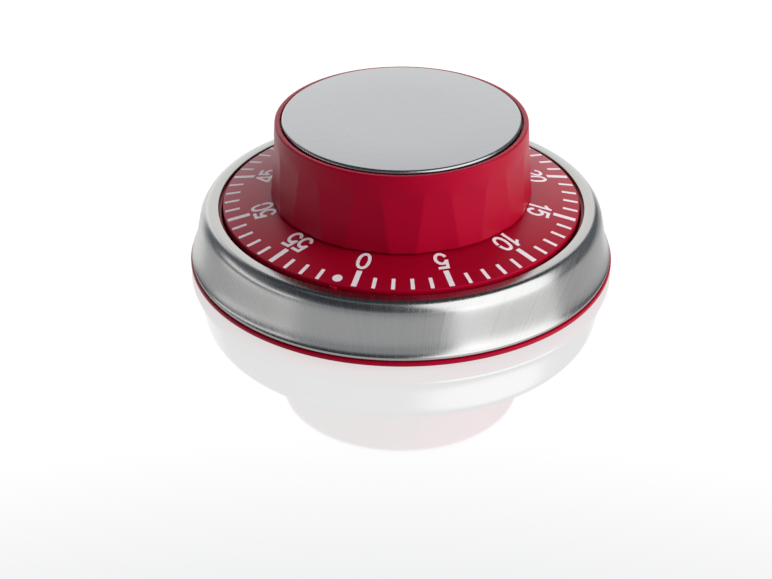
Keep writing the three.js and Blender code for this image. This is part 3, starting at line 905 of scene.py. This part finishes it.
def strokeQuads(points, half):
    # a pen stroke of constant width as a row of four-cornered patches
    closed = (Vector(points[0]) - Vector(points[-1])).length < 1e-6
    sides = []
    for index, point in enumerate(points):
        before = Vector(points[index - 1]) if index else None
        after = Vector(points[index + 1]) if index + 1 < len(points) else None
        if closed and before is None:
            before = Vector(points[-2])
        if closed and after is None:
            after = Vector(points[1])
        here = Vector(point)
        into = (here - before).normalized() if before else (after - here).normalized()
        out = (after - here).normalized() if after else into
        middle = (into + out).normalized()
        across = Vector((-middle.y, middle.x)) * (half / max(middle.dot(into), 0.5))
        sides.append((here + across, here - across))
    return [[a[0], a[1], b[1], b[0]] for a, b in zip(sides, sides[1:])]


def numeralFaces(text, half):
    # the numeral's patches joined into one outline, with its ink centred on zero
    quads = []
    pen = 0.0
    for place, figure in enumerate(text):
        left, right, strokes = figures[figure]
        pen += left if place else 0.0
        for stroke in strokes:
            for quad in strokeQuads(stroke, half):
                quads.append([corner + Vector((pen, 0)) for corner in quad])
        pen += right
    spread = [corner.x for quad in quads for corner in quad]
    middle = Vector(((min(spread) + max(spread)) / 2, 0))
    corners = [corner - middle for quad in quads for corner in quad]
    patches = [list(range(first, first + 4)) for first in range(0, len(corners), 4)]
    made = geometry.delaunay_2d_cdt(corners, [], patches, 0, 1e-5)
    bm = bmesh.new()
    verts = [bm.verts.new((point.x, point.y, 0)) for point in made[0]]
    for face, origins in zip(made[2], made[5]):
        if origins:
            bm.faces.new([verts[index] for index in face])
    loose = [vert for vert in bm.verts if not vert.link_faces]
    bmesh.ops.delete(bm, geom=loose, context="VERTS")
    return bm


def barFace(inner, outer, width, rounding):
    # one upright mark, drawn from its inner to its outer radius
    bm = bmesh.new()
    bmesh.ops.create_grid(bm, x_segments=1, y_segments=1, size=0.5)
    bmesh.ops.scale(bm, vec=(width, outer - inner, 1), verts=bm.verts[:])
    bmesh.ops.translate(bm, vec=(0, (inner + outer) / 2, 0), verts=bm.verts[:])
    bmesh.ops.bevel(
        bm,
        geom=bm.verts[:],
        offset=rounding,
        affect="VERTICES",
        segments=3,
        profile=0.5,
        material=-1,
    )
    return bm


def dotFace(radius, orbit):
    bm = bmesh.new()
    bmesh.ops.create_circle(bm, cap_ends=True, segments=40, radius=radius)
    bmesh.ops.translate(bm, vec=(0, orbit, 0), verts=bm.verts[:])
    return bm


def raisedOnDial(bm, angle, sizes):
    # thickens a flat drawing whose top points along +Y, and lays it on the dial at a plan angle
    made = bmesh.ops.extrude_face_region(bm, geom=bm.faces[:], use_keep_orig=True)
    upper = {item for item in made["geom"] if isinstance(item, bmesh.types.BMVert)}
    turn = Matrix.Rotation(math.radians(angle - 90), 3, "Z")
    bmesh.ops.rotate(bm, cent=(0, 0, 0), matrix=turn, verts=bm.verts[:])
    for vert in bm.verts:
        lift = sizes["proud"] if vert in upper else -sizes["sunk"]
        vert.co.z = dialHeight(radiusOf(vert)) + lift
    return cleaned(bm)


def addPrint(sizes):
    drawings = []
    outer = dialSizes["markRadius"]
    for minute in range(60):
        angle = sizes["zeroAngle"] + 6 * minute
        if minute == sizes["dotMinute"]:
            mark = dotFace(sizes["dotRadius"], (outer + sizes["minorInner"]) / 2)
        elif minute % 5 == 0:
            mark = barFace(sizes["majorInner"], outer, sizes["majorWidth"], sizes["cornerRound"])
            numeral = numeralFaces(str(minute), sizes["numeralHalfStroke"])
            shifted(numeral, (0, sizes["numeralRadius"]))
            drawings.append(raisedOnDial(numeral, angle, sizes))
        else:
            mark = barFace(sizes["minorInner"], outer, sizes["minorWidth"], sizes["cornerRound"])
        drawings.append(raisedOnDial(mark, angle, sizes))
    addPiece("dialPrint", gathered(*drawings), "dial_assembly", ink)


addPrint(printSizes)


# knob: round under its rim, with twelve main facets that widen towards the foot
# while the twelve between them narrow

knobSizes = {
    "facets": 12,
    "firstFacet": -104.3,
    "topHalfAngle": 4.6,
    "footHalfAngle": 9.6,
    "footRadius": 27.5,
    "rimRadius": 26.2,
    "rimInner": 25.05,
    "innerRadius": 24.1,
    "roundFrom": 30.6,
    "opensOver": 4.0,
    "straightTo": 32.3,
    "webLow": 30.6,
    "webTop": 31.8,
    "hubRadius": 5.0,
    "hubLow": 28.6,
    "bore": 2.1,
    "columns": 20,
    "edgeSoftness": 0.1,
    "footRound": 0.32,
    "rimRound": 0.34,
    "levels": (16.9, 17.8, 19, 20.5, 22, 23.5, 25, 26, 26.6),
    "fineStep": 0.4,
    "fineLevels": 10,
    "lastLevel": 31.4,
}
knobLow, knobHigh = cadSpan("knob")


def softLeast(first, second, softness):
    # the smaller of two numbers, rounded where they meet
    share = max(softness - abs(first - second), 0.0) / softness
    return min(first, second) - share * share * softness / 4


def shapeFacets(bm, sizes):
    sector = 360 / sizes["facets"]
    perSector = 2 * sizes["columns"]
    step = sector / perSector
    height = knobHigh.z - knobLow.z
    for vert in bm.verts:
        radius = radiusOf(vert)
        if radius < 0.001:
            continue
        column = round(math.degrees(math.atan2(vert.co.y, vert.co.x)) / step)
        number, place = divmod(column, perSector)
        side = 1
        if place > sizes["columns"]:
            side, number, place = -1, number + 1, perSector - place
        share = min(max((knobHigh.z - vert.co.z) / height, 0.0), 1.0)
        half = sizes["topHalfAngle"] + (sizes["footHalfAngle"] - sizes["topHalfAngle"]) * share
        rest = sector / 2 - half
        across = 2 * place / sizes["columns"]  # 0 on a facet's middle, 1 on its edge, 2 between
        if across <= 1:
            angle = half * (1 - (1 - across) ** 2)
        else:
            angle = half + rest * (across - 1) ** 2
        main = radius * math.cos(math.radians(half)) / math.cos(math.radians(angle))
        between = radius * math.cos(math.radians(rest)) / math.cos(math.radians(sector / 2 - angle))
        opened = min(max((sizes["roundFrom"] - vert.co.z) / sizes["opensOver"], 0.0), 1.0)
        opened = opened * opened * (3 - 2 * opened)
        if radius < sizes["rimInner"]:
            opened = 0
        faceted = softLeast(main, between, sizes["edgeSoftness"])
        distance = radius + (faceted - radius) * opened
        x, y = polar(distance, sizes["firstFacet"] + number * sector + side * angle)
        vert.co.x, vert.co.y = x, y


def addKnob(sizes):
    foot, top = knobLow.z, knobHigh.z
    fineFrom = sizes["levels"][-1]
    fine = [fineFrom + sizes["fineStep"] * step for step in range(1, sizes["fineLevels"] + 1)]
    levels = [*sizes["levels"], *fine, sizes["lastLevel"], sizes["straightTo"]]
    widening = sizes["footRadius"] - sizes["rimRadius"]
    side = []
    for level in levels:
        share = (top - level) / (top - foot)
        side.append((sizes["rimRadius"] + widening * share, level))
    bm = turned(
        [
            (sizes["innerRadius"], foot),
            (sizes["footRadius"], foot, sizes["footRound"]),
            *side,
            (sizes["rimRadius"], top, sizes["rimRound"]),
            (sizes["rimInner"], top, sizes["rimRound"]),
            (sizes["rimInner"], sizes["webTop"]),
            (sizes["bore"], sizes["webTop"]),
            (sizes["bore"], sizes["hubLow"]),
            (sizes["hubRadius"], sizes["hubLow"]),
            (sizes["hubRadius"], sizes["webLow"]),
            (sizes["innerRadius"], sizes["webLow"]),
        ],
        steps=2 * sizes["columns"] * sizes["facets"],
        segments=4,
    )
    shapeFacets(bm, sizes)
    addPiece("knobBody", bm, "dial_assembly", redShell, ["knob"])


addKnob(knobSizes)


# cap: a brushed disc with a softly rolled edge, set into the knob's rim

capSizes = {
    "edgeHeight": 0.8,
    "rollWidth": 0.55,
    "rollSteps": 10,
    "footRound": 0.08,
    "middleShare": 0.5,
    "steps": 320,
}


def addCap(sizes):
    low, high = cadSpan("knob_cap")
    radius = high.x
    roll = high.z - low.z - sizes["edgeHeight"]
    edge = []
    for step in range(sizes["rollSteps"] + 1):
        a = math.radians(90 * step / sizes["rollSteps"])
        inset = sizes["rollWidth"] * (1 - math.cos(a))
        edge.append((radius - inset, low.z + sizes["edgeHeight"] + roll * math.sin(a)))
    foot = [(0, low.z), (radius, low.z, sizes["footRound"])]
    face = [(radius * sizes["middleShare"], high.z), (0, high.z)]
    bm = turned([*foot, *edge, *face], sizes["steps"])
    addPiece("knobCap", bm, "dial_assembly", sheetCap, ["knob_cap"], crease=40.0)


addCap(capSizes)


# the clockwork and the magnets keep their CAD shapes and get the metals of a real movement

brassNodes = (
    "lower_plate",
    "upper_plate",
    "main_wheel",
    "second_wheel",
    "third_wheel",
    "escape_wheel",
)
keptNodes = [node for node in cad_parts.values() if not node.hide_render]
for node in keptNodes:
    metal = steel
    if node.name in brassNodes:
        metal = brass
    elif node.name.startswith("magnet"):
        metal = nickel
    node.data.materials.clear()
    node.data.materials.append(metal)
print(f"timer: {len(keptNodes)} movement parts finished")


# floor, studio light and surroundings

floorLook = {
    "mottle": 0.995,
    "size": 6.0,
    "colour": 0.8,
    "glow": 0.955,
    "glowShare": 0.87,
    "mirrorIor": 2.3,
    "mirrorRoughness": 0.045,
}


def addFloor(look):
    material, recipe = newMaterial("white table")
    mottle = recipe.noise(recipe.objectPoint(), 6.0, 2.0)
    shade = look["colour"]
    matt = recipe.node(
        "ShaderNodeBsdfDiffuse",
        inputs={"Color": recipe.blend(mottle, (shade * look["mottle"],) * 3, (shade,) * 3)},
    )
    lit = recipe.node(
        "ShaderNodeEmission", inputs={"Color": (1, 1, 1, 1), "Strength": look["glow"]}
    )
    sheet = recipe.node("ShaderNodeMixShader", inputs={0: look["glowShare"], 1: matt, 2: lit})
    gloss = recipe.node(
        "ShaderNodeBsdfGlossy",
        inputs={"Color": (1, 1, 1, 1), "Roughness": look["mirrorRoughness"]},
    )
    mirror = recipe.node("ShaderNodeFresnel", inputs={"IOR": look["mirrorIor"]})
    mixed = recipe.node("ShaderNodeMixShader", inputs={0: mirror, 1: sheet, 2: gloss})
    recipe.node("ShaderNodeOutputMaterial", inputs={"Surface": mixed})
    bm = bmesh.new()
    bmesh.ops.create_grid(bm, x_segments=1, y_segments=1, size=look["size"] / 2)
    mesh = toMesh(bm, "floor")
    mesh.materials.append(material)
    floor = bpy.data.objects.new("floor", mesh)
    bpy.context.scene.collection.objects.link(floor)


addFloor(floorLook)

# lights: three soft fills, and a large one at the right that the shiny surfaces mirror
lightPlaces = {
    "overhead": {"azimuth": 90, "elevation": 75, "size": 1.4, "watts": 4.5},
    "front": {"azimuth": -90, "elevation": 40, "size": 1.6, "watts": 3},
    "side": {"azimuth": -15, "elevation": 16, "size": 0.8, "watts": 22},
    "right": {"azimuth": -33, "elevation": 30, "size": 2.0, "watts": 31},
}


lightDistance = 1.6
mirroredLight = "right"


def addLight(name, light):
    data = bpy.data.lights.new(name, "AREA")
    data.shape = "SQUARE"
    data.size = light["size"]
    data.energy = light["watts"]
    lamp = bpy.data.objects.new(name, data)
    rise, around = math.radians(light["elevation"]), math.radians(light["azimuth"])
    level = Vector((math.cos(around), math.sin(around), 0)) * math.cos(rise)
    away = level + Vector((0, 0, math.sin(rise)))
    lamp.location = away * lightDistance
    lamp.rotation_euler = away.to_track_quat("Z", "Y").to_euler()
    lamp.visible_glossy = name == mirroredLight
    lamp.visible_camera = False
    bpy.context.scene.collection.objects.link(lamp)


for name, light in lightPlaces.items():
    addLight(name, light)

# the studio's bright screens, each a soft-edged patch of the surroundings, in degrees
surroundings = {
    "base": 0.06,
    "cool": (0.82, 0.93, 1.1),
    "screens": [
        {"azimuth": 98, "halfWidth": 30, "low": -5, "high": 39, "soft": 8, "glow": 1.55},
        {"azimuth": 186, "halfWidth": 24, "low": 4, "high": 15, "soft": 5, "glow": 2.0},
        {"azimuth": -100, "halfWidth": 50, "low": -4, "high": 18, "soft": 8, "glow": 0.5},
        {"azimuth": 155, "halfWidth": 30, "low": -4, "high": 45, "soft": 12, "glow": 0.16},
        {"azimuth": 28, "halfWidth": 26, "low": -4, "high": 45, "soft": 12, "glow": 0.16},
        {"azimuth": -120, "halfWidth": 55, "low": 54, "high": 60, "soft": 3, "glow": 0.85},
    ],
}


def addSurroundings(look):
    world = bpy.data.worlds.new("studio")
    world.use_nodes = True
    bpy.context.scene.world = world
    recipe = Recipe(world.node_tree)
    x, y, z = recipe.parts(recipe.node("ShaderNodeTexCoord", output="Generated"))
    level = (x * x + y * y) ** 0.5 + 0.0001
    glow = look["base"]
    for screen in look["screens"]:
        around = math.radians(screen["azimuth"])
        facing = (x * math.cos(around) + y * math.sin(around)) / level
        inside = math.cos(math.radians(screen["halfWidth"]))
        outside = math.cos(math.radians(screen["halfWidth"] + screen["soft"]))
        low, high = math.sin(math.radians(screen["low"])), math.sin(math.radians(screen["high"]))
        edge = math.sin(math.radians(screen["soft"]))
        sideways = ((facing - outside) / (inside - outside)).clamped()
        upright = ((z - low) / edge).clamped() * ((high - z) / edge + 0.5).clamped()
        glow = glow + screen["glow"] * sideways * upright
    colour = recipe.blend((glow * 1.2).clamped(), look["cool"], (1.0, 1.0, 1.0))
    background = recipe.node("ShaderNodeBackground", inputs={"Color": colour, "Strength": glow})
    recipe.node("ShaderNodeOutputWorld", inputs={"Surface": background})


addSurroundings(surroundings)
print("timer: studio ready")
